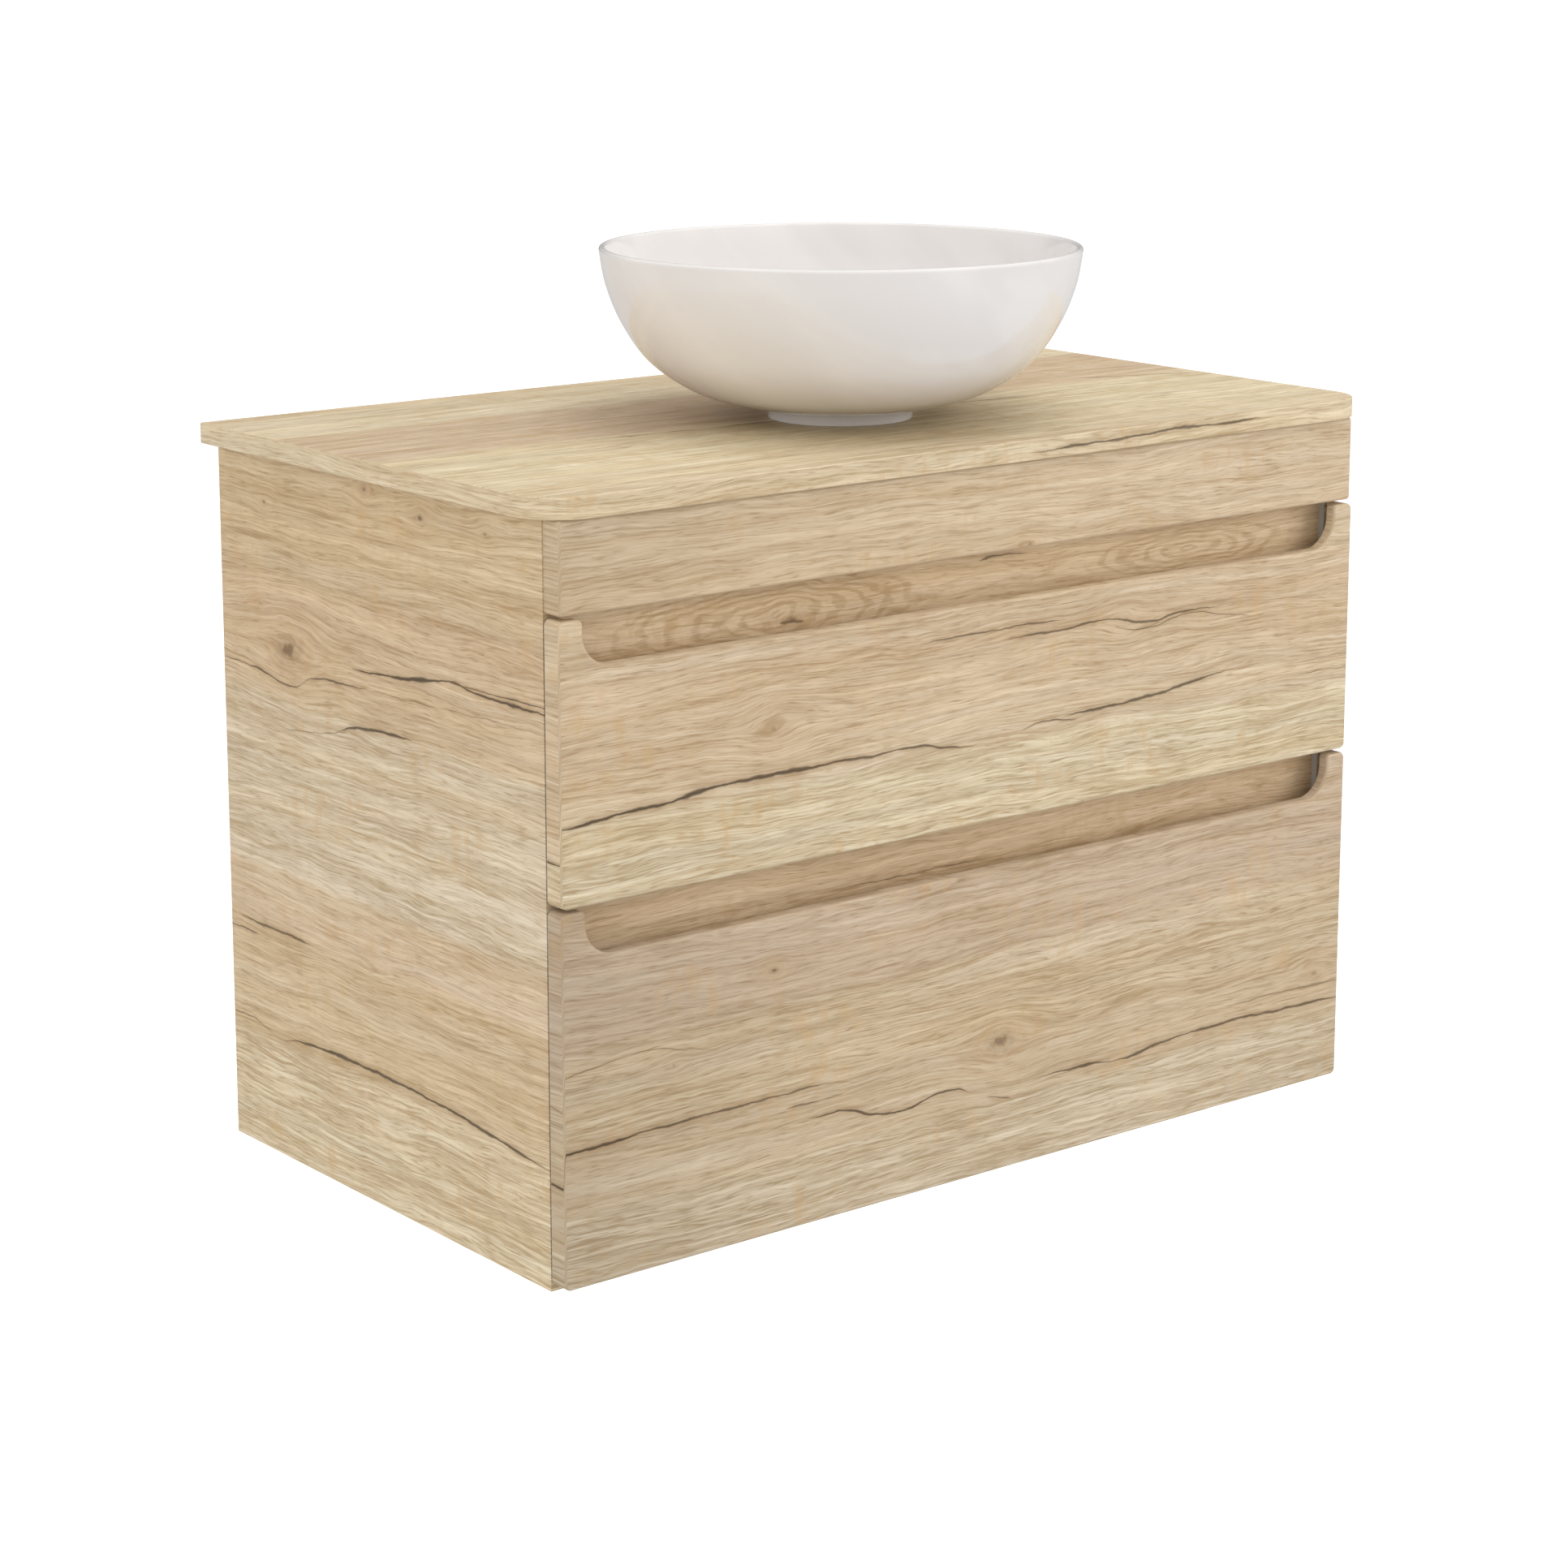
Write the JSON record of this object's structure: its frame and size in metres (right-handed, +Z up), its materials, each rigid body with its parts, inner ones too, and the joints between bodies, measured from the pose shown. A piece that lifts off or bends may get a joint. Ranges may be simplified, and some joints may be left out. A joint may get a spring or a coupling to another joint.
{
  "type": "vessel sink vanity",
  "caption": "Wall-hung bathroom vanity: oak-look cabinet with two slotted drawers, thin worktop and a round white vessel basin with waste and trap.",
  "frame": {"origin": "centre of the four wall-screw holes, on the wall plane", "axes": "+X to the viewer's right, +Y back into the wall, +Z up; the drawers open towards -Y"},
  "size_m": [0.81, 0.465, 0.705],
  "materials": {
    "oak_worktop": "matt oak-grain foil with cracks and knots",
    "oak_side_left": "matt oak-grain foil with cracks and knots",
    "oak_side_right": "matt oak-grain foil with cracks and knots",
    "oak_fascia": "matt oak-grain foil with cracks and knots",
    "oak_upper_front": "matt oak-grain foil with cracks and knots",
    "oak_lower_front": "matt oak-grain foil with cracks and knots",
    "oak_upper_rail": "matt oak-grain foil with cracks and knots",
    "oak_lower_rail": "matt oak-grain foil with cracks and knots",
    "grey_melamine": "grey melamine-faced board",
    "beech_dowel": "fluted beech",
    "zinc_cam": "die-cast zinc",
    "zinc_screw": "zinc-plated steel",
    "galvanised_steel": "galvanised sheet steel",
    "cage_plastic": "moulded plastic with steel balls",
    "grey_plastic": "textured moulded plastic",
    "bumper_rubber": "soft clear-grey discs",
    "white_glaze": "glossy white glaze",
    "silicone": "clear-white silicone",
    "black_rubber": "black rubber",
    "chrome": "polished chrome",
    "brass_nut": "plain brass",
    "white_plastic": "white polypropylene"
  },
  "bodies": {
    "cabinet": {"worktop": "oak_worktop", "side_panel_left": "oak_side_left", "side_panel_right": "oak_side_right", "fascia": "oak_fascia", "upper_finger_rail": "oak_upper_rail", "lower_finger_rail": "oak_lower_rail", "bottom_panel": "grey_melamine", "rear_rail_top": "grey_melamine", "rear_rail_bottom": "grey_melamine", "top_stretcher_front": "grey_melamine", "top_stretcher_rear": "grey_melamine", "carcass_dowels": "beech_dowel", "cam_bolts": "zinc_cam", "cam_discs": "zinc_cam", "carcass_screws": "zinc_screw", "hanger_left": "galvanised_steel", "hanger_right": "galvanised_steel", "wall_plates": "galvanised_steel", "upper_runner_outer": "galvanised_steel", "lower_runner_outer": "galvanised_steel", "fascia_corner_blocks": "grey_plastic", "basin_bowl": "white_glaze", "basin_seal": "silicone", "waste_gasket": "black_rubber", "waste_washer": "black_rubber", "waste_body": "chrome", "waste_nut": "brass_nut", "trap_tailpiece": "white_plastic", "trap_nuts": "white_plastic", "trap_head": "white_plastic", "trap_union_nut": "white_plastic", "trap_bottle": "white_plastic", "trap_outlet_pipe": "white_plastic"},
    "upper_drawer": {"upper_drawer_front": "oak_upper_front", "upper_drawer_inner_front": "grey_melamine", "upper_drawer_side_left": "grey_melamine", "upper_drawer_side_right": "grey_melamine", "upper_drawer_bottom": "grey_melamine", "upper_drawer_back_left": "grey_melamine", "upper_drawer_back_right": "grey_melamine", "upper_drawer_screws": "zinc_screw", "upper_runner_inner": "galvanised_steel", "upper_siphon_recess": "grey_plastic", "upper_drawer_bumpers": "bumper_rubber"},
    "upper_runner_middles": {"upper_runner_middle": "galvanised_steel", "upper_ball_cages": "cage_plastic"},
    "lower_drawer": {"lower_drawer_front": "oak_lower_front", "lower_drawer_inner_front": "grey_melamine", "lower_drawer_side_left": "grey_melamine", "lower_drawer_side_right": "grey_melamine", "lower_drawer_bottom": "grey_melamine", "lower_drawer_back": "grey_melamine", "lower_drawer_screws": "zinc_screw", "lower_runner_inner": "galvanised_steel", "lower_drawer_bumpers": "bumper_rubber"},
    "lower_runner_middles": {"lower_runner_middle": "galvanised_steel", "lower_ball_cages": "cage_plastic"},
    "waste_cap": {"waste_cap": "chrome"}
  },
  "joints": [
    {"name": "upper_drawer_slide", "type": "slide", "parent": "cabinet", "child": "upper_drawer", "axis": [0, -1, 0], "range_m": [0, 0.34]},
    {"name": "upper_runner_slide", "type": "slide", "parent": "cabinet", "child": "upper_runner_middles", "axis": [0, -1, 0], "range_m": [0, 0.17]},
    {"name": "lower_drawer_slide", "type": "slide", "parent": "cabinet", "child": "lower_drawer", "axis": [0, -1, 0], "range_m": [0, 0.34]},
    {"name": "lower_runner_slide", "type": "slide", "parent": "cabinet", "child": "lower_runner_middles", "axis": [0, -1, 0], "range_m": [0, 0.17]},
    {"name": "waste_cap_lift", "type": "slide", "parent": "cabinet", "child": "waste_cap", "axis": [0, 0, 1], "range_m": [0, 0.008]}
  ],
  "couplings": [
    {"joint": "upper_runner_slide", "follows": "upper_drawer_slide", "ratio": 0.5},
    {"joint": "lower_runner_slide", "follows": "lower_drawer_slide", "ratio": 0.5}
  ]
}
